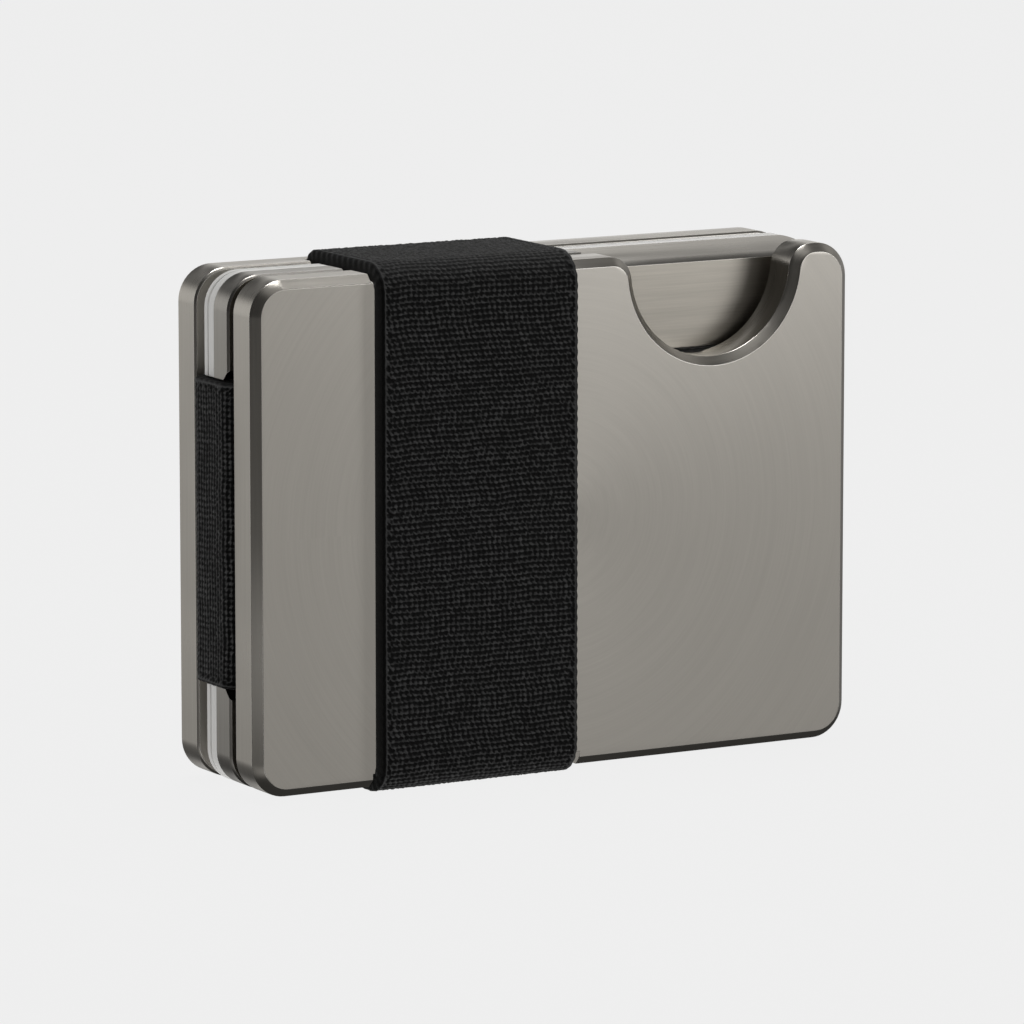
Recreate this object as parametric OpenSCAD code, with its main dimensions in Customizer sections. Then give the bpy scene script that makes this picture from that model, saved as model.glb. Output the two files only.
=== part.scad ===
// Card wallet: three brushed plates, two cards and two woven elastic loops.
// Origin: middle of the whole wallet in X and Y, underside of the outer loop at Z = 0.
// X runs along the wallet, Y from the notched front to the back, Z up. Millimetres.

/* [Plates] */

// length of every plate, along X
plate_length = 88.1; // [86.5:0.1:100]
// height of every plate, along Z
plate_height = 66; // [56:0.1:80]
// radius of the four corners of a plate
corner_radius = 4.6; // [3:0.1:8]
// thickness of the front and the back plate
outer_thickness = 5.72; // [3:0.01:7]
// 45 degree bevel round the outward face of the front and the back plate
outer_bevel = 1.1; // [0.6:0.05:1.4]
// edge break on the inward face of the front and the back plate
inner_bevel = 0.27; // [0.1:0.01:0.6]
// thickness of the middle plate
middle_thickness = 3.8; // [2.8:0.01:5]
// edge break on the front face of the middle plate
middle_bevel = 0.27; // [0.1:0.01:0.6]

/* [Thumb notch] */

// distance of the notch's centre from the middle of the plate, along X
notch_offset = 23.4; // [14:0.1:26]
// radius of the notch's wall
notch_radius = 12; // [8:0.1:13]
// distance of the notch's centre under the plate's top edge
notch_drop = 1.9; // [0.5:0.1:4]
// radius of the two corners at the notch's mouth
mouth_radius = 3.4; // [1.5:0.1:4]
// height of the thumb ramp milled into the middle plate's top edge
ramp_drop = 1.55; // [0.5:0.05:2.5]

/* [Cards] */

// thickness of the card that lies on the middle plate
front_card_thickness = 1.5; // [0.76:0.01:1.8]
// thickness of the rear card
rear_card_thickness = 0.85; // [0.76:0.01:1.8]
// air between the two cards
card_gap = 0.3; // [0.05:0.05:0.5]

/* [Elastic loops] */

// thickness of the woven elastic
elastic = 2.5; // [1.9:0.1:3]
// width of the outer loop, along X
outer_loop_width = 28.5; // [20:0.1:36]
// middle of the outer loop, along X
outer_loop_offset = -12.75; // [-18:0.05:-8]
// how far the outer loop stands out under the plates' bottom edges
outer_loop_proud = 0.7; // [0.4:0.05:1.2]
// how far the outer loop stands above the plates' top edges
outer_loop_rise = 1.54; // [0.6:0.02:1.6]
// outside radius of the outer loop where it turns into the back plate
outer_loop_radius = 3; // [1.5:0.1:3.4]
// outside radius of the outer loop where it turns over the front plate's edges
outer_loop_front_radius = 4.2; // [2:0.1:4.4]
// depth of the pocket in the back plate's inward face, where the outer loop is bonded in
pocket_depth = 2.6; // [2:0.05:2.9]
// height of the inner loop, along Z
inner_loop_height = 39.2; // [24:0.1:44]
// how far the inner loop stands out at the plates' ends
inner_loop_proud = 0.9; // [0.4:0.05:1.4]
// outside corner radius of the inner loop
inner_loop_radius = 2.1; // [1:0.1:2.4]

/* [Fits] */

// play between an elastic loop and the metal it runs over
fit = 0.06; // [0.03:0.01:0.15]
// play between the edges of a loop and the walls of its slot
side_play = 0.25; // [0.1:0.05:1]

/* [Part] */

// which solid to show, or all of them

/* [Hidden] */

$fn = 96;

// the stack, measured from the front face of the front plate
channel_depth = 1.28;
front_gap = elastic + 2 * fit - channel_depth;
y_front_inner = outer_thickness;
y_middle = y_front_inner + front_gap;
y_channel = y_middle + channel_depth;
y_front_card = y_middle + middle_thickness + 0.03;
y_rear_card = y_front_card + front_card_thickness + card_gap;
y_cards_end = y_rear_card + rear_card_thickness;
y_back = y_cards_end + elastic + 2 * fit + 0.02;
stack = y_back + outer_thickness;

// the outer loop
loop_bottom = elastic - outer_loop_proud;
loop_top = plate_height - elastic + outer_loop_rise;
bottom_floor = loop_bottom + fit;
top_floor = loop_top - fit;
y_pocket = y_back + max(pocket_depth, elastic + 0.1);
loop_left = outer_loop_offset - outer_loop_width / 2;
loop_right = outer_loop_offset + outer_loop_width / 2;
band_front = -elastic - fit;
band_back = y_pocket - fit;

// where everything sits in the shared frame
lift = outer_loop_proud;
shift_y = -(band_front + stack) / 2;

// the inner loop
inner_mid = plate_height / 2 - 0.1;
inner_low = inner_mid - inner_loop_height / 2;
inner_high = inner_mid + inner_loop_height / 2;
inner_reach = plate_length / 2 + inner_loop_proud;
inner_face = y_channel - fit - elastic;
inner_back = y_cards_end + fit + elastic;
inner_bay = inner_reach - elastic - fit;

// the seams
seam_pitch = 9;
stitch_row = 1.6;
stitch_depth = 0.35;
ramp_bevel = 0.7;
// how far the thumb ramp runs on behind the front plate, past the notch
ramp_run = 3;

// the ends of the slots and of the channel
slot_ramp = 0.3;
slot_end = 1.7;
channel_flare = 5;

// the thumb notch
notch_z = plate_height - notch_drop;
mouth_z = plate_height - mouth_radius;
mouth_reach = sqrt(pow(notch_radius + mouth_radius, 2) - pow(notch_z - mouth_z, 2));
notch_left = notch_offset - mouth_reach;
notch_right = notch_offset + mouth_reach;
half = plate_length / 2;

steel = [0.58, 0.57, 0.55];
steel_dark = [0.5, 0.49, 0.47];
pale = [0.82, 0.82, 0.8];
black = [0.08, 0.08, 0.08];
thread = [0.14, 0.14, 0.14];

// puts a shape that is drawn in X and Z, with Y as its thickness, where the stack has it
module place() {
  translate([0, shift_y, lift])
    children();
}

// stands a flat drawing up: its y becomes Z and its thickness runs along Y from y0 to y1
module standing(y0, y1) {
  translate([0, y1, 0])
    rotate([90, 0, 0])
      linear_extrude(height = y1 - y0)
        children();
}

// a cone frustum along Y: radius ra at y0 and rb at y1
module frustum(x, z, y0, y1, ra, rb) {
  translate([x, y1, z])
    rotate([90, 0, 0])
      cylinder(h = y1 - y0, r1 = rb, r2 = ra);
}

// the plain outline of a plate
module outline() {
  union() {
    translate([-half, corner_radius])
      square([plate_length, plate_height - 2 * corner_radius]);
    translate([-half + corner_radius, 0])
      square([plate_length - 2 * corner_radius, plate_height]);
    for (sx = [-1, 1])
      for (z = [corner_radius, plate_height - corner_radius])
        translate([sx * (half - corner_radius), z])
          circle(r = corner_radius);
  }
}

// a plate layer whose outline is inset by ia at y0 and by ib at y1
module bevel_layer(y0, y1, ia, ib) {
  union() {
    for (sx = [-1, 1])
      for (z = [corner_radius, plate_height - corner_radius])
        frustum(sx * (half - corner_radius), z, y0, y1, corner_radius - ia, corner_radius - ib);
    translate([-half + corner_radius, 0, 0])
      rotate([90, 0, 90])
        linear_extrude(height = plate_length - 2 * corner_radius)
          polygon([[y0, ia], [y1, ib], [y1, plate_height - ib], [y0, plate_height - ia]]);
    translate([0, 0, corner_radius])
      linear_extrude(height = plate_height - 2 * corner_radius)
        polygon([[-half + ia, y0], [half - ia, y0], [half - ib, y1], [-half + ib, y1]]);
  }
}

// the slots that take the outer loop, across the front plate's top and bottom edge
module loop_slots() {
  translate([loop_left - side_play, -1, top_floor])
    cube([outer_loop_width + 2 * side_play, outer_thickness + 2, 4]);
  translate([loop_left - side_play, -1, -1])
    cube([outer_loop_width + side_play + slot_end, outer_thickness + 2, bottom_floor + 1]);
}

// the pocket in the back plate, open to the stack and to both edges
module loop_pocket() {
  translate([loop_left - side_play, y_back - 1, -1])
    cube([outer_loop_width + 2 * side_play, y_pocket - y_back + 1, plate_height + 2]);
}

// the area between the centres of the two mouth corners, open at the top
module notch_mouth() {
  polygon([[notch_left, plate_height + 2], [notch_left, mouth_z], [notch_offset, notch_z], [notch_right, mouth_z], [notch_right, plate_height + 2]]);
}

// what the thumb notch takes away between y0 and y1, grown by ga at y0 and gb at y1
module notch_cut(y0, y1, ga, gb) {
  union() {
    frustum(notch_offset, notch_z, y0, y1, notch_radius + ga, notch_radius + gb);
    difference() {
      standing(y0, y1)
        notch_mouth();
      for (x = [notch_left, notch_right])
        frustum(x, mouth_z, y0, y1, mouth_radius - ga, mouth_radius - gb);
    }
  }
}

// outer plate with its bevelled face at y = 0
module outer_plate_blank() {
  union() {
    bevel_layer(0, outer_bevel, outer_bevel, 0);
    standing(outer_bevel, outer_thickness - inner_bevel)
      outline();
    bevel_layer(outer_thickness - inner_bevel, outer_thickness, 0, inner_bevel);
  }
}

module front_plate() {
  color(steel)
    place()
      difference() {
        outer_plate_blank();
        loop_slots();
        notch_cut(0, outer_bevel, outer_bevel, 0);
        notch_cut(outer_bevel, outer_thickness, 0, 0);
      }
}

module back_plate() {
  color(steel)
    place()
      difference() {
        translate([0, stack, 0])
          mirror([0, 1, 0])
            outer_plate_blank();
        loop_pocket();
      }
}

// a slot of that depth in an inner layer's bottom edge, with steep ends that let the outer loop climb out
module steep_slot(depth) {
  polygon([
    [loop_left - side_play - slot_ramp * (1 + 2 / depth), -2],
    [loop_left - side_play, depth],
    [loop_right + side_play, depth],
    [loop_right + side_play + slot_ramp * (1 + 2 / depth), -2]]);
}

// what both loops need from the inner layers: slots for the outer loop, bays for the inner one
module loop_recesses() {
  steep_slot(bottom_floor);
  translate([0, plate_height])
    mirror([0, 1])
      steep_slot(plate_height - top_floor);
  for (sx = [-1, 1])
    translate([sx * (inner_bay + 5) - 5, inner_low - side_play])
      square([10, inner_loop_height + 2 * side_play]);
}

// the sloped relief behind the notch, where the thumb pushes the middle plate
module thumb_ramp() {
  translate([notch_left - 0.6, y_middle, 0])
    rotate([90, 0, 90])
      linear_extrude(height = notch_right - notch_left + 0.6 + ramp_run)
        polygon([
          [middle_thickness - 0.1, plate_height + 1],
          [middle_thickness - 0.1, plate_height],
          [ramp_bevel, plate_height - ramp_drop],
          [-0.5, plate_height - ramp_drop - ramp_bevel - 0.5],
          [-0.5, plate_height + 1]]);
}

// the channel across the middle plate's front face, where the inner loop lies, flared at both ends
module loop_channel() {
  translate([-half - 1, y_middle - 1, inner_low - fit])
    cube([plate_length + 2, channel_depth + 1, inner_loop_height + 2 * fit]);
  for (x = [-half - 1, half - channel_flare])
    translate([x, y_middle, 0])
      rotate([90, 0, 90])
        linear_extrude(height = channel_flare + 1)
          polygon([
            [-0.5, inner_low - side_play - channel_depth - 0.5],
            [channel_depth, inner_low - side_play],
            [channel_depth, inner_high + side_play],
            [-0.5, inner_high + side_play + channel_depth + 0.5]]);
}

module middle_plate() {
  color(steel_dark)
    place()
      difference() {
        union() {
          translate([0, y_middle, 0])
            bevel_layer(0, middle_bevel, middle_bevel, 0);
          standing(y_middle + middle_bevel, y_middle + middle_thickness)
            outline();
        }
        standing(y_middle - 1, y_middle + middle_thickness + 1)
          loop_recesses();
        loop_channel();
        thumb_ramp();
      }
}

// a card from y0 to y1, cut like the middle plate
module card(y0, y1) {
  color(pale)
    place()
      standing(y0, y1)
        difference() {
          outline();
          loop_recesses();
        }
}

module front_card() {
  card(y_front_card, y_front_card + front_card_thickness);
}

module rear_card() {
  card(y_rear_card, y_rear_card + rear_card_thickness);
}

// a rectangle from a to b with rounded corners
module rounded(a, b, r) {
  union() {
    translate([a[0] + r, a[1]])
      square([b[0] - a[0] - 2 * r, b[1] - a[1]]);
    translate([a[0], a[1] + r])
      square([b[0] - a[0], b[1] - a[1] - 2 * r]);
    for (x = [a[0] + r, b[0] - r])
      for (y = [a[1] + r, b[1] - r])
        translate([x, y])
          circle(r = r);
  }
}

// the seam rows of the outer loop, on its rear run
module outer_rows(deeper) {
  for (z = [-seam_pitch / 2, seam_pitch / 2])
    translate([loop_left + 2, band_back - stitch_depth, plate_height / 2 + z - stitch_row / 2])
      cube([outer_loop_width - 4, stitch_depth - 0.03 + deeper, stitch_row]);
}

// the seam rows of the inner loop, on its rear run
module inner_rows(deeper) {
  for (x = [-seam_pitch / 2, seam_pitch / 2])
    translate([x - stitch_row / 2, inner_back - stitch_depth, inner_low + 2])
      cube([stitch_row, stitch_depth - 0.03 + deeper, inner_loop_height - 4]);
}

// the outer loop's outline, with wider turns over the front plate's edges than into the back plate
module outer_loop_outline() {
  low = -outer_loop_proud;
  high = plate_height + outer_loop_rise;
  r = outer_loop_radius;
  front_r = outer_loop_front_radius;
  union() {
    polygon([
      [band_front, low + front_r],
      [band_front + front_r, low],
      [band_back - r, low],
      [band_back, low + r],
      [band_back, high - r],
      [band_back - r, high],
      [band_front + front_r, high],
      [band_front, high - front_r]]);
    for (z = [low + r, high - r])
      translate([band_back - r, z])
        circle(r = r);
    for (z = [low + front_r, high - front_r])
      translate([band_front + front_r, z])
        circle(r = front_r);
  }
}

module outer_band() {
  color(black)
    place()
      difference() {
        translate([loop_left, 0, 0])
          rotate([90, 0, 90])
            linear_extrude(height = outer_loop_width)
              difference() {
                outer_loop_outline();
                translate([-fit, loop_bottom])
                  square([band_back - elastic + fit, loop_top - loop_bottom]);
              }
        outer_rows(1);
      }
}

module inner_band() {
  color(black)
    place()
      difference() {
        translate([0, 0, inner_low])
          linear_extrude(height = inner_loop_height)
            difference() {
              rounded([-inner_reach, inner_face], [inner_reach, inner_back], inner_loop_radius);
              translate([-inner_reach + elastic, inner_face + elastic])
                square([2 * (inner_reach - elastic), inner_back - inner_face - 2 * elastic]);
            }
        inner_rows(1);
      }
}

module outer_band_stitching() {
  color(thread)
    place()
      outer_rows(0);
}

module inner_band_stitching() {
  color(thread)
    place()
      inner_rows(0);
}

front_plate();
middle_plate();
back_plate();
front_card();
rear_card();
outer_band();
inner_band();
outer_band_stitching();
inner_band_stitching();
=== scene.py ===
# %% [markdown]
# # A card wallet of three brushed plates and two woven elastics
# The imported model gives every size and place, so this script only reads the frame and dresses it.
# Everything is in metres, X runs along the wallet, Y goes from the notched front to the back, Z is up.

# %% Load the frame
import math
import bmesh
import bpy
import numpy as np
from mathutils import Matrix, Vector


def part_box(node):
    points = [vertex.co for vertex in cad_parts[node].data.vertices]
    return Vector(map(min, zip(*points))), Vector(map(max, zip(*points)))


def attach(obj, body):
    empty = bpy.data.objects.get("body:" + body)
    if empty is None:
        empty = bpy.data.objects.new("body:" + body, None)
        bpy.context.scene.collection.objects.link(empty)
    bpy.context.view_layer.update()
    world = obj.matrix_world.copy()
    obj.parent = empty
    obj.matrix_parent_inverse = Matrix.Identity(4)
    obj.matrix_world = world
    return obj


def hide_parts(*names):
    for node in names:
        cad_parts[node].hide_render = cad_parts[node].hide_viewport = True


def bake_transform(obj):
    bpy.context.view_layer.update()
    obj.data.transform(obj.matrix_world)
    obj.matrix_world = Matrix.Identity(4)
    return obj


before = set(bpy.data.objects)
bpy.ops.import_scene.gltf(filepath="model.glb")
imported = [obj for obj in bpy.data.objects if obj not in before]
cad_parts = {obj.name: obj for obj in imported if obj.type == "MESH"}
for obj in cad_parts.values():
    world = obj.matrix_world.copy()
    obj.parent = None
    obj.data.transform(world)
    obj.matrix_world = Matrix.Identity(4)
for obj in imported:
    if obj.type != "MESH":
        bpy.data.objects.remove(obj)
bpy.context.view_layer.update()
MM = 0.001

# %% [markdown]
# ## Driving sizes
# The frame knows every piece's box, so the plates' faces and the elastics' runs can be read from it.
# Reading them keeps the dressing glued to the model when a size changes.

# %% Read the sizes
plate_low, plate_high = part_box("front_plate")
back_low, back_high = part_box("back_plate")
front_face = plate_low.y
rear_face = back_high.y
plate_middle = (plate_low + plate_high) / 2
print("stack of plates and cards", round((rear_face - front_face) / MM, 2), "mm deep")

# %% [markdown]
# ## The camera
# A small product looks calm through a long lens from nearly a metre away: upright edges stay upright.
# The camera is turned to the wallet's left and looks slightly down, so the whole stack shows at the end.

# %% Set up the camera
turned = math.radians(29.56)
looking_down = math.radians(9.18)
aim = (-6.9 * MM, front_face, plate_low.z + 34.1 * MM)
away = 861.5 * MM
line_of_sight = (
    math.sin(turned) * math.cos(looking_down),
    math.cos(turned) * math.cos(looking_down),
    -math.sin(looking_down),
)
lens = bpy.data.cameras.new("camera")
lens.lens = 236.2
lens.sensor_width = 36
lens.clip_start = 0.01
camera = bpy.data.objects.new("camera", lens)
camera.location = [a - away * d for a, d in zip(aim, line_of_sight)]
camera.rotation_euler = (math.pi / 2 - looking_down, 0, -turned)
bpy.context.scene.collection.objects.link(camera)
bpy.context.scene.camera = camera
bpy.context.scene.view_settings.view_transform = "Standard"
print("camera stands", round(away, 3), "m away")

# %% [markdown]
# ## Helpers for node materials
# Two small functions carry all the materials. One turns a colour as a designer writes it, in sRGB hex,
# into the linear numbers that a renderer works with. The other adds one node with its settings and links.

# %% Colour and node helpers
def linear(hex_code, alpha=1.0):
    """An sRGB hex colour as linear red, green, blue and alpha."""
    parts = [int(hex_code[i:i + 2], 16) / 255 for i in (1, 3, 5)]
    return tuple(c / 12.92 if c <= 0.04045 else ((c + 0.055) / 1.055) ** 2.4 for c in parts) + (alpha,)


def add(tree, kind, inputs=None, **settings):
    """Adds a node. An input is given by name or number, as a value or as the socket that feeds it."""
    made = tree.nodes.new(kind)
    for name, value in settings.items():
        setattr(made, name, value)
    for name, value in (inputs or {}).items():
        if isinstance(value, bpy.types.NodeSocket):
            tree.links.new(value, made.inputs[name])
        else:
            made.inputs[name].default_value = value
    return made


def new_material(name):
    """An empty node material and its tree."""
    material = bpy.data.materials.new(name)
    material.use_nodes = True
    material.node_tree.nodes.clear()
    return material, material.node_tree


print("mid grey #808080 is", round(linear("#808080")[0], 3), "linear")

# %% [markdown]
# ## The studio
# Brushed metal has hardly any look of its own: it mirrors a blurred room. So the room is made
# first. A lit backdrop stands behind the wallet and ends above it, a soft wall shines from the front right,
# a panel hangs overhead, and the left side stays dark, which draws the bevels. Round patches of a world
# shader do this with less noise than real panels. The camera itself sees only the plain pale backdrop.
# To place a patch, mirror the line of sight in the surface that should catch it.

# %% World
PALE = linear("#EFEFEF")[0]

world = bpy.data.worlds.new("studio")
bpy.context.scene.world = world
world.use_nodes = True
room = world.node_tree
room.nodes.clear()
heading = add(room, "ShaderNodeTexCoord").outputs["Generated"]


def light_patch(azimuth, height, inner, outer, level):
    """A round patch of light. Its middle is azimuth degrees from +Y towards +X and height degrees up."""
    turn, rise = math.radians(azimuth), math.radians(height)
    towards = (math.sin(turn) * math.cos(rise), math.cos(turn) * math.cos(rise), math.sin(rise))
    facing = add(room, "ShaderNodeVectorMath", {0: heading, 1: towards}, operation="DOT_PRODUCT")
    apart = add(room, "ShaderNodeMath", {0: facing.outputs["Value"]}, operation="ARCCOSINE").outputs[0]
    return add(room, "ShaderNodeMapRange", {
        "Value": apart,
        "From Min": math.radians(outer),
        "From Max": math.radians(inner),
        "To Min": 0.0,
        "To Max": level,
    }, interpolation_type="SMOOTHSTEP").outputs[0]


patches = [
    # the backdrop, left, middle and right: the flat tops and the left ends catch it
    light_patch(-36, 4, 8, 27, 0.90),
    light_patch(0, 6, 8, 24, 0.80),
    light_patch(36, 6, 8, 26, 0.85),
    # the sweep below it: the lower half of the left ends, and the rear face seen from above
    light_patch(-30, -18, 6, 24, 0.16),
    light_patch(12, -30, 6, 20, 0.60),
    # the wall at the front right: the front face
    light_patch(150, 6, 10, 48, 0.54),
    # overhead: the bevels along the top, the notch's shoulders, and the thumb ramp
    light_patch(-175, 72, 10, 34, 0.36),
    light_patch(88, 38, 5, 20, 0.42),
    light_patch(46, 50, 6, 22, 1.15),
    # the sweep at the front left: the bevels along the left, and the front face seen from the right
    light_patch(-120, -26, 5, 24, 0.35),
    light_patch(-152, -30, 6, 20, 0.50),
    # the right-hand wall: the right ends
    light_patch(75, 10, 10, 40, 0.30),
]
DIM_ROOM = 0.06
brightness = DIM_ROOM
for patch in patches:
    brightness = add(room, "ShaderNodeMath", {0: patch, 1: brightness}, operation="ADD").outputs[0]
seen = add(room, "ShaderNodeBackground", {"Color": (PALE, PALE, PALE, 1)})
felt = add(room, "ShaderNodeBackground", {"Color": (1.0, 0.99, 0.97, 1), "Strength": brightness})
by_camera = add(room, "ShaderNodeLightPath").outputs["Is Camera Ray"]
choice = add(room, "ShaderNodeMixShader", {0: by_camera, 1: felt.outputs[0], 2: seen.outputs[0]})
add(room, "ShaderNodeOutputWorld", {"Surface": choice.outputs[0]})
print("room made of", len(patches), "patches of light")

# %% [markdown]
# ## The floor
# The wallet stands on the same white sweep that is behind it. It is lit evenly enough to have no visible
# edge and hardly a shadow, so the floor mostly glows and only a little of its brightness is reflected light.

# %% Floor
SHARE_REFLECTED = 0.02
floor_mesh = bpy.data.meshes.new("floor")
floor_mesh.from_pydata([(-3, -3, 0), (3, -3, 0), (3, 3, 0), (-3, 3, 0)], [], [(0, 1, 2, 3)])
floor = bpy.data.objects.new("floor", floor_mesh)
bpy.context.scene.collection.objects.link(floor)
floor.visible_glossy = False
floor_paint, tree = new_material("pale sweep")
glow = add(tree, "ShaderNodeEmission", {"Color": (PALE, PALE, PALE, 1), "Strength": 1 - SHARE_REFLECTED})
paper = add(tree, "ShaderNodeBsdfDiffuse", {"Color": (SHARE_REFLECTED, SHARE_REFLECTED, SHARE_REFLECTED, 1)})
both = add(tree, "ShaderNodeAddShader", {0: glow.outputs[0], 1: paper.outputs[0]})
add(tree, "ShaderNodeOutputMaterial", {"Surface": both.outputs[0]})
floor_mesh.materials.append(floor_paint)
print("the floor reflects", SHARE_REFLECTED, "of the light on it")

# %% [markdown]
# ## Lamps
# Three soft panels stand near the wallet, because the room's patches are too far away to change along it.
# The one at the front right makes the metal brighter towards its upper right corner and rakes the weave.
# The one overhead makes the top of the loop paler than its front. A small one by the left foot lifts the
# lower end of the left bevels. The camera doesn't see the panels, so no view is blocked by one.

# %% Soft panels
def soft_panel(name, place, size, watts):
    """A square area lamp that faces the wallet's middle."""
    lamp = bpy.data.lights.new(name, "AREA")
    lamp.size = size
    lamp.energy = watts
    holder = bpy.data.objects.new(name, lamp)
    holder.location = place
    facing = plate_middle - holder.location
    holder.rotation_euler = facing.to_track_quat("-Z", "Y").to_euler()
    holder.visible_camera = False
    bpy.context.scene.collection.objects.link(holder)
    return holder


soft_panel("overhead panel", (0.02, 0.08, 0.70), 0.30, 2.3)
soft_panel("front right panel", (0.20, -0.28, 0.11), 0.14, 0.12)
soft_panel("low left card", (-0.092, -0.048, 0.008), 0.020, 0.0007)

# %% [markdown]
# ## Brushed plates
# The plates are milled from solid bar, bevelled, brushed and anodised in a titanium grey. Each brush line is
# a tiny groove, so light spreads across the grooves and not along them. Three things show that: anisotropic
# gloss, roughness that changes from line to line, and a very shallow bump. The face of an outer plate was
# brushed on a turntable, so its lines are arcs round the plate's middle. The middle plate's face was brushed
# lengthwise, and so were all the edges, round the outline. Each lay of the brush is its own material, and
# the same function makes them all: it only needs to know which way the lines run. Cycles spreads the gloss
# along the tangent, so the tangent here points across the lines.

# %% Brushed metal
def brushed_metal(name, hex_code, roughness, anisotropy, lay, contrast=1.0, gap=0.25 * MM):
    """Anodised aluminium. lay is "arcs" round the piece's middle, "lines" along X, or round the "edge"."""
    material, tree = new_material(name)
    place = add(tree, "ShaderNodeTexCoord").outputs["Object"]
    split = add(tree, "ShaderNodeSeparateXYZ", {0: place})
    x, y, z = (split.outputs[i] for i in range(3))
    if lay == "arcs":
        # the distance from the middle changes across the lines, the angle changes slowly along them
        radial = add(tree, "ShaderNodeCombineXYZ", {0: x, 1: 0.0, 2: z}).outputs[0]
        across = add(tree, "ShaderNodeVectorMath", {0: radial}, operation="LENGTH").outputs["Value"]
        angle = add(tree, "ShaderNodeMath", {0: z, 1: x}, operation="ARCTAN2").outputs[0]
        along = add(tree, "ShaderNodeMath", {0: angle, 1: 0.03}, operation="MULTIPLY").outputs[0]
        over_lines = add(tree, "ShaderNodeVectorMath", {0: radial}, operation="NORMALIZE").outputs[0]
    elif lay == "lines":
        across, along, over_lines = z, x, (0.0, 0.0, 1.0)
    else:
        across, over_lines = y, (0.0, 1.0, 0.0)
        along = add(tree, "ShaderNodeMath", {0: x, 1: z}, operation="ADD").outputs[0]
    lines = add(tree, "ShaderNodeCombineXYZ", {0: across, 1: along, 2: 0.0}).outputs[0]

    # real brush lines are about 0.05 mm apart, drawn wider so that they show
    fine = add(tree, "ShaderNodeMapping", {"Vector": lines, "Scale": (1 / gap, 60, 1)}).outputs[0]
    grain = add(tree, "ShaderNodeTexNoise", {
        "Vector": fine, "Scale": 1.0, "Detail": 4.0, "Roughness": 0.65}).outputs[0]
    # single deeper strokes a millimetre or more apart
    broad = add(tree, "ShaderNodeMapping", {"Vector": lines, "Scale": (900, 25, 1)}).outputs[0]
    strokes = add(tree, "ShaderNodeTexNoise", {
        "Vector": broad, "Scale": 1.0, "Detail": 3.0, "Roughness": 0.5}).outputs[0]
    # handling and uneven anodising, as slow clouds about 20 mm wide
    clouds = add(tree, "ShaderNodeTexNoise", {"Vector": place, "Scale": 50.0, "Detail": 3.0}).outputs[0]
    streak = add(tree, "ShaderNodeMix", {0: 0.4, 2: grain, 3: strokes}, data_type="FLOAT").outputs[0]

    shade = linear(hex_code)
    darker = tuple(c * (1 - 0.14 * contrast) for c in shade[:3]) + (1,)
    lighter = tuple(min(1, c * (1 + 0.10 * contrast)) for c in shade[:3]) + (1,)
    tint = add(tree, "ShaderNodeMapRange", {
        "Value": streak, "From Min": 0.3, "From Max": 0.7, "To Min": 0.0, "To Max": 1.0}).outputs[0]
    colour = add(tree, "ShaderNodeMix", {0: tint, 6: darker, 7: lighter}, data_type="RGBA").outputs[2]
    uneven = add(tree, "ShaderNodeMath", {0: clouds, 1: streak}, operation="ADD").outputs[0]
    gloss = add(tree, "ShaderNodeMapRange", {
        "Value": uneven, "From Min": 0.7, "From Max": 1.3,
        "To Min": roughness - 0.05 * contrast, "To Max": roughness + 0.05 * contrast}).outputs[0]
    relief = add(tree, "ShaderNodeBump", {
        "Height": streak, "Strength": 0.10 * contrast, "Distance": 0.04 * MM}).outputs[0]
    metal = add(tree, "ShaderNodeBsdfPrincipled", {
        "Base Color": colour,
        "Metallic": 1.0,
        "Roughness": gloss,
        "Anisotropic": anisotropy,
        "Tangent": over_lines,
        "Normal": relief,
    })
    add(tree, "ShaderNodeOutputMaterial", {"Surface": metal.outputs[0]})
    return material


# faint arcs and a soft, even gloss, because a turntable pad crosses its own lines
turned_face = brushed_metal("turntable brushed anodised aluminium", "#BDB9B2", 0.38, 0.25, "arcs", 0.45)
# clear straight lines, from one pass along a belt
lined_face = brushed_metal(
    "lengthwise brushed anodised aluminium", "#BDB8AF", 0.34, 0.5, "lines", 1.2, 0.35 * MM)
# tighter gloss that draws long streaks round the outline
brushed_edge = brushed_metal("edge brushed anodised aluminium", "#B2AEA7", 0.30, 0.65, "edge", 0.8)
# the same, darker and with coarser streaks, for the inner plate
inner_edge = brushed_metal(
    "edge brushed anodised aluminium, inner plate", "#9E9B96", 0.32, 0.65, "edge", 1.3)
# painted highlight: a paler, glossier colour on each small bevel stands in for the thin bright line that
# each edge catches
edge_highlight_paint = brushed_metal("edge bevel with painted highlight", "#D8D5CF", 0.22, 0.3, "edge", 0.5)
print("metal finishes:", [m.name for m in (turned_face, lined_face, brushed_edge, inner_edge, edge_highlight_paint)])
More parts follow.
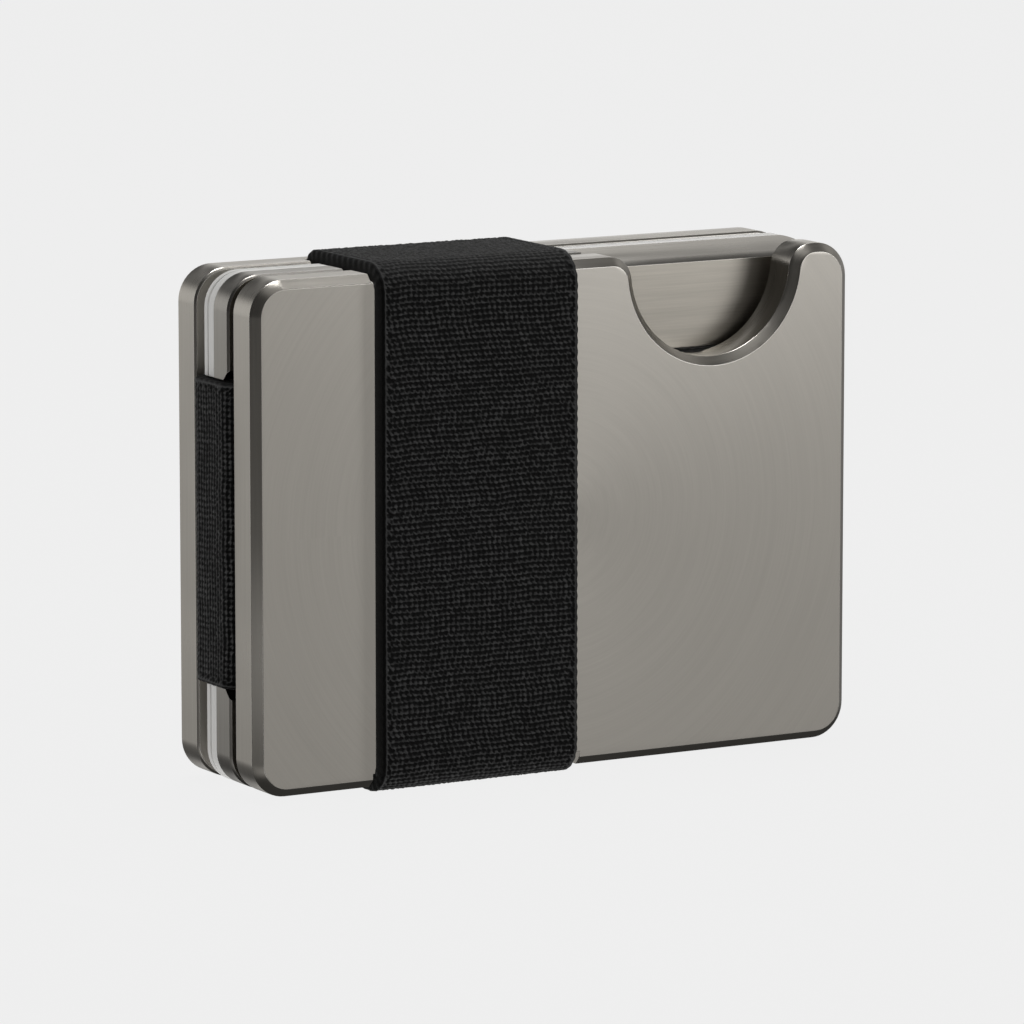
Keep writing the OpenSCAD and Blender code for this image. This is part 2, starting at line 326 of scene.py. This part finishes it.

# %% [markdown]
# ## Broken edges
# No milled edge is truly sharp: a deburring tool takes off a few hundredths, and that narrow bright
# facet is what makes an edge look real. The model's plates have the right shape,
# so each is copied, its triangles are joined back into whole faces, and a small bevel is cut on every real
# edge. The bevel gets a paler, glossier material, a painted highlight; a face that looks forwards or
# backwards gets the face material, and all others get the edge material.

# %% Copy a plate and break its edges
def with_broken_edges(node, width, face_finish, edge_finish, bevel_finish, body):
    """A copy of a CAD node, centred on its own middle, with a small bevel on every edge, given a painted
    highlight.
    """
    low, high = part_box(node)
    middle = (low + high) / 2
    shape = bmesh.new()
    shape.from_mesh(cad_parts[node].data)
    bmesh.ops.remove_doubles(shape, verts=shape.verts, dist=0.002 * MM)
    bmesh.ops.dissolve_limit(shape, angle_limit=math.radians(0.5), verts=shape.verts, edges=shape.edges)
    bmesh.ops.translate(shape, verts=shape.verts, vec=-middle)
    finishes = (face_finish, edge_finish, bevel_finish)
    for side in shape.faces:
        flat = abs(side.normal.y) > 0.95
        side.material_index = finishes.index(face_finish if flat else edge_finish)
    sharp = [e for e in shape.edges if e.is_manifold and e.calc_face_angle() > math.radians(20)]
    # the bevel takes the paler finish, a painted highlight
    bmesh.ops.bevel(shape, geom=sharp, offset=width, segments=2, profile=0.5, affect="EDGES",
                    clamp_overlap=True, material=finishes.index(bevel_finish))
    many_sided = [f for f in shape.faces if len(f.verts) > 4]
    bmesh.ops.triangulate(shape, faces=many_sided, ngon_method="EAR_CLIP")
    mesh = bpy.data.meshes.new(node + "_metal")
    shape.to_mesh(mesh)
    shape.free()
    mesh.shade_smooth()
    for finish in finishes:
        mesh.materials.append(finish)
    piece = bpy.data.objects.new(node + "_finished", mesh)
    piece.location = middle
    bpy.context.scene.collection.objects.link(piece)
    even = piece.modifiers.new("even shading", "WEIGHTED_NORMAL")
    even.weight = 100
    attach(piece, body)
    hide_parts(node)
    print(piece.name, len(mesh.polygons), "faces")
    return piece


# %% The three plates
EDGE_BREAK = 0.07 * MM
with_broken_edges("front_plate", EDGE_BREAK, turned_face, brushed_edge, edge_highlight_paint, "front")
with_broken_edges("back_plate", EDGE_BREAK, turned_face, brushed_edge, edge_highlight_paint, "back")
# finer, because the thumb ramp leaves a land of only 0.1 mm at its top
FINE_BREAK = 0.03 * MM
with_broken_edges("middle_plate", FINE_BREAK, lined_face, inner_edge, edge_highlight_paint, "middle")

# %% [markdown]
# ## Cards
# The two cards behind the middle plate show only their edges. Punched plastic has a slightly rough, paler
# edge with faint lines along it, from the layers that it was pressed from.

# %% Pressed plastic
def pressed_plastic(name, hex_code):
    """Laminated PVC card: satin faces and an edge with the lines of its layers."""
    material, tree = new_material(name)
    place = add(tree, "ShaderNodeTexCoord").outputs["Object"]
    # layers about 0.2 mm thick, seen as lines along the edge
    layers = add(tree, "ShaderNodeMapping", {"Vector": place, "Scale": (30, 5000, 30)}).outputs[0]
    lines = add(tree, "ShaderNodeTexNoise", {"Vector": layers, "Scale": 1.0, "Detail": 2.0}).outputs[0]
    grain = add(tree, "ShaderNodeTexNoise", {"Vector": place, "Scale": 3000.0, "Detail": 3.0}).outputs[0]
    shade = linear(hex_code)
    darker = tuple(c * 0.82 for c in shade[:3]) + (1,)
    colour = add(tree, "ShaderNodeMix", {0: lines, 6: darker, 7: shade}, data_type="RGBA").outputs[2]
    gloss = add(tree, "ShaderNodeMapRange", {
        "Value": grain, "From Min": 0.3, "From Max": 0.7, "To Min": 0.32, "To Max": 0.48}).outputs[0]
    relief = add(tree, "ShaderNodeBump", {
        "Height": lines, "Strength": 0.15, "Distance": 0.03 * MM}).outputs[0]
    plastic = add(tree, "ShaderNodeBsdfPrincipled", {
        "Base Color": colour,
        "Roughness": gloss,
        "IOR": 1.53,
        "Normal": relief,
    })
    add(tree, "ShaderNodeOutputMaterial", {"Surface": plastic.outputs[0]})
    return material


# %% The two cards
# a white card, satin from the press, so that its cut edge stays the palest thing in the stack
card_plastic = pressed_plastic("satin PVC card", "#F4F3F0")
CARD_EDGE = 0.10 * MM  # the punch leaves a softer edge than the mill
for card in ("front_card", "rear_card"):
    with_broken_edges(card, CARD_EDGE, card_plastic, card_plastic, card_plastic, "middle")

# %% [markdown]
# ## Woven elastic
# Elastic webbing is rubber cords wrapped in polyester, laid lengthwise, and crossed by weft threads that
# pull the face into little ribs. The ribs run across the loop about 0.7 mm apart, and between two ribs the
# wrapped cords show as ties with a dark hole beside each. Bump alone would leave the outline smooth, so the
# face is really modelled: a closed strip is swept round the stack, three points to a rib and three to a
# tie, and the middle point of each cell is pushed in as a hole. Each row starts at a random third of a
# cell, and the rows wander a little, because a stretched weave is never a perfect grid.

# %% Measures of the weave
RIB = 0.72 * MM  # from rib to rib, along the loop
TIE = 0.73 * MM  # from tie to tie, across it
HOLE = 0.26 * MM  # depth of a hole
ROUNDED = 0.42 * MM  # radius of the strip's edges
chance = np.random.default_rng(11)


def slow_noise(rows, columns, row_step, column_step):
    """Smooth noise from -1 to 1 on a grid, with one random value every few points. It closes on itself."""
    tall, wide = max(3, rows // row_step), max(3, columns // column_step)
    values = chance.uniform(-1, 1, (tall, wide))
    values = np.vstack([values, values[:1]])
    at_rows = np.linspace(0, tall, rows, endpoint=False)
    at_columns = np.linspace(0, wide - 1, columns)
    first = np.floor(at_rows).astype(int)
    part = (at_rows - first)[:, None]
    part = part * part * (3 - 2 * part)
    by_row = values[first] * (1 - part) + values[first + 1] * part
    left = np.minimum(np.floor(at_columns).astype(int), wide - 2)
    part = at_columns - left
    part = part * part * (3 - 2 * part)
    return by_row[:, left] * (1 - part) + by_row[:, left + 1] * part


# %% Threads and holes
def weave_pattern(ribs, ties):
    """How deep each point lies, from 0 on a thread to 1 in a hole, with three points to a rib and a tie."""
    depth = np.zeros((3 * ribs, 3 * ties))
    for rib in range(ribs):
        holes = np.arange(ties) * 3 + chance.integers(0, 3)
        beside = (holes + 1) % (3 * ties)
        # the rib itself, the row of holes after it, and the slope up to the next rib
        depth[3 * rib] = chance.uniform(0.0, 0.35, 3 * ties)
        depth[3 * rib, holes] += 0.2
        depth[3 * rib + 1] = chance.uniform(0.3, 0.75, 3 * ties)
        depth[3 * rib + 1, beside] = chance.uniform(0.5, 0.95, ties)
        depth[3 * rib + 1, holes] = 1.0
        depth[3 * rib + 2] = chance.uniform(0.1, 0.6, 3 * ties)
        depth[3 * rib + 2, holes] = chance.uniform(0.5, 1.0, ties)
    return depth


print("a face 28 mm wide has", round(28 * MM / TIE), "ties to a row")


# %% A rounded loop to sweep along
def rounded_path(low, high, radii, count):
    """Evenly spaced points of a rectangle with round corners, their outward normals and the way round.

    The radii are those of the corners after the bottom, the right, the top and the left side."""
    spans = [
        high[0] - low[0] - radii[3] - radii[0],
        high[1] - low[1] - radii[0] - radii[1],
        high[0] - low[0] - radii[1] - radii[2],
        high[1] - low[1] - radii[2] - radii[3],
    ]
    centres = [
        (high[0] - radii[0], low[1] + radii[0]),
        (high[0] - radii[1], high[1] - radii[1]),
        (low[0] + radii[2], high[1] - radii[2]),
        (low[0] + radii[3], low[1] + radii[3]),
    ]
    total = sum(spans) + math.pi / 2 * sum(radii)
    points, normals = [], []
    for step in range(count):
        rest = total * step / count
        for side in range(4):
            forward = (round(math.cos(side * math.pi / 2)), round(math.sin(side * math.pi / 2)))
            outward = (forward[1], -forward[0])
            last_centre, last_radius = centres[side - 1], radii[side - 1]
            if rest < spans[side]:
                start = [last_centre[i] + outward[i] * last_radius for i in (0, 1)]
                points.append([start[i] + forward[i] * rest for i in (0, 1)])
                normals.append(outward)
                break
            rest -= spans[side]
            if rest < math.pi / 2 * radii[side]:
                turn = (side - 1) * math.pi / 2 + rest / radii[side]
                normals.append((math.cos(turn), math.sin(turn)))
                points.append([centres[side][i] + radii[side] * normals[-1][i] for i in (0, 1)])
                break
            rest -= math.pi / 2 * radii[side]
    return np.array(points), np.array(normals), total


print("a loop of 20 by 60 with corners of 4 is",
      round(rounded_path((0, 0), (20, 60), (4, 4, 4, 4), 4)[2], 1), "round")

# %% [markdown]
# ## From section to strip
# The strip is one grid of points: each row is a section across the webbing, and the rows follow the rounded
# path. A section starts at the inner corner, goes up the side, round the edge, over the woven face, down the
# other side and back underneath. The grid closes on itself both ways, so the strip is a solid without ends.

# %% The section of the strip
SIDE_TUCK = 0.12 * MM  # how far the underside's corners are drawn in
UNDERSIDE = 8  # points across the underside
EDGE = 6  # points before the face: three up the side, three round the edge


def strip_section(width, thickness):
    """Each point's distance across the width and below the face, and the number of ties on the face."""
    ties = int((width - 2 * ROUNDED) / TIE)
    turns = np.radians([0, 30, 60])
    edge_in = ROUNDED * (1 - np.cos(turns))
    edge_down = ROUNDED * (1 - np.sin(turns))
    side_in = np.array([SIDE_TUCK, 0, 0])
    side_down = thickness * np.array([1.0, 0.85, 0.5])
    face = np.linspace(ROUNDED, width - ROUNDED, 3 * ties)
    under = np.linspace(0.94, 0.06, UNDERSIDE) * width
    across = np.concatenate([side_in, edge_in, face, width - edge_in[::-1], width - side_in[::-1], under])
    down = np.concatenate([
        side_down, edge_down, np.zeros(3 * ties), edge_down[::-1], side_down[::-1],
        np.full(UNDERSIDE, thickness)])
    return across, down, ties


print("a strip 28.5 mm wide has", len(strip_section(28.5 * MM, 2.5 * MM)[0]), "points to a section")


# %% The woven face and its selvedge
def woven_surface(ribs, ties, count):
    """How deep every point of the grid is sunk: the weave, and the selvedge at both edges of the face."""
    first, last = EDGE, EDGE + 3 * ties - 1
    sunk = np.zeros((3 * ribs, count))
    sunk[:, first:last + 1] = weave_pattern(ribs, ties)
    # the edge cord loops out every second rib, with a deep stitch hole beside each loop
    between_loops = (np.arange(3 * ribs) // 3) % 2 == 0
    for cord, beside in ((first, first + 2), (last, last - 2)):
        sunk[:, cord] = 0.2
        sunk[:, beside] = np.where(between_loops, 1.0, 0.3)
    return sunk, between_loops


# %% Keep the strip out of what it is wrapped on
def squeeze_out(place, inner_low, inner_high):
    """Moves each point that lies inside the wrapped box out to the nearest side of it.

    Webbing does this by itself: it is squeezed thin where it is pulled over a corner."""
    inside = np.all((place > inner_low) & (place < inner_high), axis=2)
    to_sides = np.stack([place - inner_low, inner_high - place], axis=3)
    nearest = to_sides.reshape(*place.shape[:2], 4).argmin(axis=2)
    for row, column in zip(*np.nonzero(inside)):
        axis, high_side = divmod(int(nearest[row, column]), 2)
        place[row, column, axis] = inner_high[axis] if high_side else inner_low[axis]


# %% From grid to mesh
def closed_grid(name, points, lit_threads_painted_shade):
    """A piece from a grid of points that closes both ways, with each point's share of grey thread colour
    against painted black shade.
    """
    rows, count = lit_threads_painted_shade.shape
    row, column = np.meshgrid(np.arange(rows), np.arange(count), indexing="ij")
    next_row, next_column = (row + 1) % rows, (column + 1) % count
    corners = np.stack([row * count + column, next_row * count + column,
                        next_row * count + next_column, row * count + next_column], axis=2)
    data = bpy.data.meshes.new(name)
    data.from_pydata(points.reshape(-1, 3).tolist(), [], corners.reshape(-1, 4).tolist())
    mesh = bmesh.new()
    mesh.from_mesh(data)
    bmesh.ops.recalc_face_normals(mesh, faces=mesh.faces)
    mesh.to_mesh(data)
    mesh.free()
    data.shade_smooth()
    threads = data.attributes.new("lit_threads_painted_shade", "FLOAT", "POINT")
    threads.data.foreach_set("value", lit_threads_painted_shade.astype(np.float32).ravel())
    piece = bpy.data.objects.new(name, data)
    bpy.context.scene.collection.objects.link(piece)
    return piece


# %% The strip
WANDER = 0.12 * MM  # how far a rib strays along the loop
UNEVEN = 0.02 * MM  # how much the face rises and falls
CORD_LOOP = 0.05 * MM  # how far the selvedge cord loops out


def woven_loop(name, low, high, radii, width_from, width_to, thickness, stand):
    """A closed woven strip round a rounded rectangle. stand puts (u, v, width) into X, Y and Z."""
    way_round = rounded_path(low, high, radii, 4)[2]
    ribs = 2 * round(way_round / RIB / 2)
    rows = 3 * ribs
    across, down, ties = strip_section(width_to - width_from, thickness)
    count = len(across)
    face = slice(EDGE, EDGE + 3 * ties)
    outside = slice(3, EDGE + 3 * ties + 3)
    path, outward, way_round = rounded_path(low, high, radii, rows)
    forward = np.stack([-outward[:, 1], outward[:, 0]], axis=1)
    sunk, between_loops = woven_surface(ribs, ties, count)
    wander = slow_noise(rows, count, 24, 9) * WANDER
    unevenness = slow_noise(rows, count, 9, 9) * UNEVEN
    on_face = np.zeros(count, bool)
    on_face[outside] = True

    push = -down - np.where(on_face, HOLE * sunk, 0.0)
    push[:, face] += unevenness[:, face]
    place = path[:, None, :] + outward[:, None, :] * push[:, :, None]
    place += forward[:, None, :] * (wander * on_face)[:, :, None]
    squeeze_out(place, np.array(low) + thickness, np.array(high) - thickness)
    # one loop of the cord takes two ribs, which are six rows of points
    looped = CORD_LOOP * np.cos(2 * np.pi * np.arange(rows) / 6)[:, None]
    sideways = np.tile(width_from + across, (rows, 1))
    sideways[:, 3:EDGE] -= looped
    sideways[:, face.stop:face.stop + 3] += looped

    # painted shade: thread tops keep their grey on the face and the holes are painted black by their depth;
    # down the rounded edges the grey fades to painted black, more on the first edge than the second, and the
    # sides and underneath are painted black
    lit_threads_painted_shade = np.where(on_face, 1.0 - sunk, 0.0)
    lit_threads_painted_shade[:, 3:EDGE] = (0.0, 0.15, 0.45)
    lit_threads_painted_shade[:, face.stop:face.stop + 3] = (0.6, 0.35, 0.2)
    # painted shade: the first edge is painted darker between the cord's loops
    lit_threads_painted_shade[between_loops, 3:EDGE] *= 0.6
    piece = closed_grid(name, stand(place[:, :, 0], place[:, :, 1], sideways), lit_threads_painted_shade)
    faces = len(piece.data.polygons)
    print(name, ribs, "ribs,", ties, "ties,", faces, "faces,", round(way_round / MM, 1), "mm round")
    return piece, way_round


# %% [markdown]
# ## Black polyester
# The threads are matt black polyester over rubber. The tops of the threads catch light and look dark grey.
# The holes between them, the selvedge's sides and the underside are painted near-black as painted shade:
# each vertex carries how much grey thread colour it keeps, and the material reads that. Fine fibres give a
# weak sheen at grazing angles, which is why the top of the loop looks paler.

# %% Woven polyester
def woven_polyester(name, hex_top, hex_painted_hole_shade):
    """Black webbing of wrapped rubber: grey thread tops, holes painted black as painted shade, a little
    sheen and fibre bump.
    """
    material, tree = new_material(name)
    place = add(tree, "ShaderNodeTexCoord").outputs["Object"]
    top = add(tree, "ShaderNodeAttribute", attribute_name="lit_threads_painted_shade").outputs["Fac"]
    # fibres about 0.08 mm thick, and patches of yarn that took the dye a little differently
    fibres = add(tree, "ShaderNodeTexNoise", {"Vector": place, "Scale": 6000.0, "Detail": 3.0}).outputs[0]
    patches = add(tree, "ShaderNodeTexNoise", {"Vector": place, "Scale": 500.0, "Detail": 2.0}).outputs[0]
    raised = add(tree, "ShaderNodeMapRange", {
        "Value": top, "From Min": 0.42, "From Max": 0.92}, interpolation_type="SMOOTHSTEP").outputs[0]
    mixed = add(tree, "ShaderNodeMath", {0: fibres, 1: patches}, operation="ADD").outputs[0]
    uneven = add(tree, "ShaderNodeMapRange", {
        "Value": mixed, "From Min": 0.7, "From Max": 1.3, "To Min": 0.65, "To Max": 1.35}).outputs[0]
    amount = add(tree, "ShaderNodeMath", {0: raised, 1: uneven}, operation="MULTIPLY").outputs[0]
    # painted shade: points with a low share take the near-black hole colour
    colour = add(tree, "ShaderNodeMix", {
        0: amount, 6: linear(hex_painted_hole_shade), 7: linear(hex_top)}, data_type="RGBA", clamp_factor=False).outputs[2]
    gloss = add(tree, "ShaderNodeMapRange", {
        "Value": fibres, "From Min": 0.3, "From Max": 0.7, "To Min": 0.55, "To Max": 0.8}).outputs[0]
    relief = add(tree, "ShaderNodeBump", {
        "Height": fibres, "Strength": 0.5, "Distance": 0.05 * MM}).outputs[0]
    cloth = add(tree, "ShaderNodeBsdfPrincipled", {
        "Base Color": colour,
        "Roughness": gloss,
        "IOR": 1.45,
        "Specular IOR Level": 0.15,
        "Sheen Weight": 0.11,
        "Sheen Roughness": 0.5,
        "Sheen Tint": (0.8, 0.8, 0.8, 1),
        "Normal": relief,
    })
    add(tree, "ShaderNodeOutputMaterial", {"Surface": cloth.outputs[0]})
    return material


# firm and matt: grey thread tops stand out against holes painted black, a painted shade
webbing = woven_polyester("black polyester woven over rubber", "#3D3D3D", "#010101")
# softer and a little greyer, with a lighter painted shade in its holes
soft_webbing = woven_polyester("black brushed polyester woven over rubber", "#4A4A4A", "#040404")
print("webbing finishes:", webbing.name, "and", soft_webbing.name)

# %% [markdown]
# ## The two loops
# The outer loop goes over the front plate and into the back plate's pocket, so it turns wide at the front
# and tighter at the rear. It is built in place once and joins no plate's body, so nothing here stretches
# it when a plate moves. Brushed metal would mirror its black side as a wide dark smear beside it, which
# makes the loop look broader than it is, so it is left out of glossy reflections. The inner loop holds the
# cards to the middle plate.

# %% The outer loop
outer_low, outer_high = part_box("outer_band")
ELASTIC = 2.5 * MM
FRONT_TURN = 4.2 * MM
REAR_TURN = 3.0 * MM
outer_loop, outer_round = woven_loop(
    "outer_loop_webbing", (outer_low.y, outer_low.z), (outer_high.y, outer_high.z),
    (REAR_TURN, REAR_TURN, FRONT_TURN, FRONT_TURN), outer_low.x, outer_high.x, ELASTIC,
    lambda u, v, w: np.stack([w, u, v], axis=2))
outer_loop.data.materials.append(webbing)
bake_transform(outer_loop)
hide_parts("outer_band")
outer_loop.visible_glossy = False

# %% The inner loop
inner_low, inner_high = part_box("inner_band")
INNER_TURN = 2.1 * MM
inner_loop, inner_round = woven_loop(
    "inner_loop_webbing", (inner_low.x, inner_low.y), (inner_high.x, inner_high.y),
    (INNER_TURN, INNER_TURN, INNER_TURN, INNER_TURN), inner_low.z, inner_high.z, ELASTIC,
    lambda u, v, w: np.stack([u, v, w], axis=2))
inner_loop.data.materials.append(soft_webbing)
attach(inner_loop, "middle")
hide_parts("inner_band")

# %% [markdown]
# ## Seams
# Each loop is one length of webbing with its ends closed by two rows of zigzag stitches on its rear run,
# where a hand does not feel them. A zigzag is a real thread here: a thin tube bent from side to side.

# %% Zigzag stitches
STITCH = 0.55 * MM  # from one needle hole to the next, along the row


def zigzag(name, low, high, along, side, radius):
    """A zigzag thread in the box from low to high. along and side are axes, radius is the thread's."""
    steps = round((high[along] - low[along]) / STITCH)
    out = 3 - along - side
    surface = high[out]
    sides = 6
    mesh = bmesh.new()
    rings = []
    line = []
    for k in range(steps * 4 + 1):
        t = k / 4
        wave = abs((t % 2) - 1)
        point = [0.0, 0.0, 0.0]
        point[along] = low[along] + (high[along] - low[along]) * t / steps
        point[side] = low[side] + radius + (high[side] - low[side] - 2 * radius) * wave
        point[out] = surface - radius * (0.9 - 0.45 * math.sin(math.pi * (t % 1)))
        line.append(point)
    line = np.array(line)
    for k, point in enumerate(line):
        ahead = line[min(k + 1, len(line) - 1)] - line[max(k - 1, 0)]
        ahead /= np.linalg.norm(ahead)
        up = np.zeros(3)
        up[out] = 1.0
        sideways = np.cross(ahead, up)
        sideways /= np.linalg.norm(sideways)
        up = np.cross(sideways, ahead)
        ring = []
        for s in range(sides):
            turn = 2 * math.pi * s / sides
            ring.append(mesh.verts.new(point + radius * (math.cos(turn) * sideways + math.sin(turn) * up)))
        rings.append(ring)
    for a, b in zip(rings, rings[1:]):
        for s in range(sides):
            mesh.faces.new((a[s], b[s], b[(s + 1) % sides], a[(s + 1) % sides]))
    mesh.faces.new(rings[0])
    mesh.faces.new(rings[-1])
    bmesh.ops.recalc_face_normals(mesh, faces=mesh.faces)
    data = bpy.data.meshes.new(name)
    mesh.to_mesh(data)
    mesh.free()
    data.shade_smooth()
    piece = bpy.data.objects.new(name, data)
    bpy.context.scene.collection.objects.link(piece)
    return piece


def sewing_thread(name, hex_code):
    """Bonded polyester thread: a satin twist, seen as fine slanting lines."""
    material, tree = new_material(name)
    place = add(tree, "ShaderNodeTexCoord").outputs["Object"]
    slant = add(tree, "ShaderNodeMapping", {"Vector": place, "Rotation": (0.6, 0.6, 0.6)}).outputs[0]
    # twist about 0.25 mm long
    twist = add(tree, "ShaderNodeTexWave", {
        "Vector": slant, "Scale": 1300.0, "Distortion": 1.0}, wave_type="BANDS").outputs["Fac"]
    shade = linear(hex_code)
    # painted shade: the grooves between the twist's strands are painted darker
    darker = tuple(c * 0.4 for c in shade[:3]) + (1,)
    colour = add(tree, "ShaderNodeMix", {0: twist, 6: darker, 7: shade}, data_type="RGBA").outputs[2]
    gloss = add(tree, "ShaderNodeMapRange", {"Value": twist, "To Min": 0.55, "To Max": 0.4}).outputs[0]
    relief = add(tree, "ShaderNodeBump", {
        "Height": twist, "Strength": 0.6, "Distance": 0.04 * MM}).outputs[0]
    yarn = add(tree, "ShaderNodeBsdfPrincipled", {
        "Base Color": colour, "Roughness": gloss, "IOR": 1.5, "Sheen Weight": 0.2, "Normal": relief})
    add(tree, "ShaderNodeOutputMaterial", {"Surface": yarn.outputs[0]})
    return material


# %% Sew both loops
# a thread drawn tight into the weave: satin, and nearly level with the face, so it can't catch on the plates
black_thread = sewing_thread("bonded polyester sewing thread", "#2B2B2B")
ROW = 1.6 * MM  # height of one zigzag row
THREAD = 0.17 * MM  # radius of the thread
SUNK = 0.03 * MM  # how far the thread is drawn into the face
seams = {}
for node, along, side, body in (
        ("outer_band_stitching", 0, 2, "back"),
        ("inner_band_stitching", 2, 0, "middle")):
    low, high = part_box(node)
    seams[node] = []
    for which in (0, 1):
        row_low, row_high = list(low), list(high)
        if which:
            row_low[side] = high[side] - ROW
        else:
            row_high[side] = low[side] + ROW
        row_high[1] = high[1] - SUNK
        name = node.replace("band_stitching", "loop_seam") + "_" + str(which + 1)
        stitches = zigzag(name, row_low, row_high, along, side, THREAD)
        stitches.data.materials.append(black_thread)
        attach(stitches, body)
        if not which:
            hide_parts(node)
        seams[node].append(stitches)
print("seams:", [o.name for row in seams.values() for o in row])
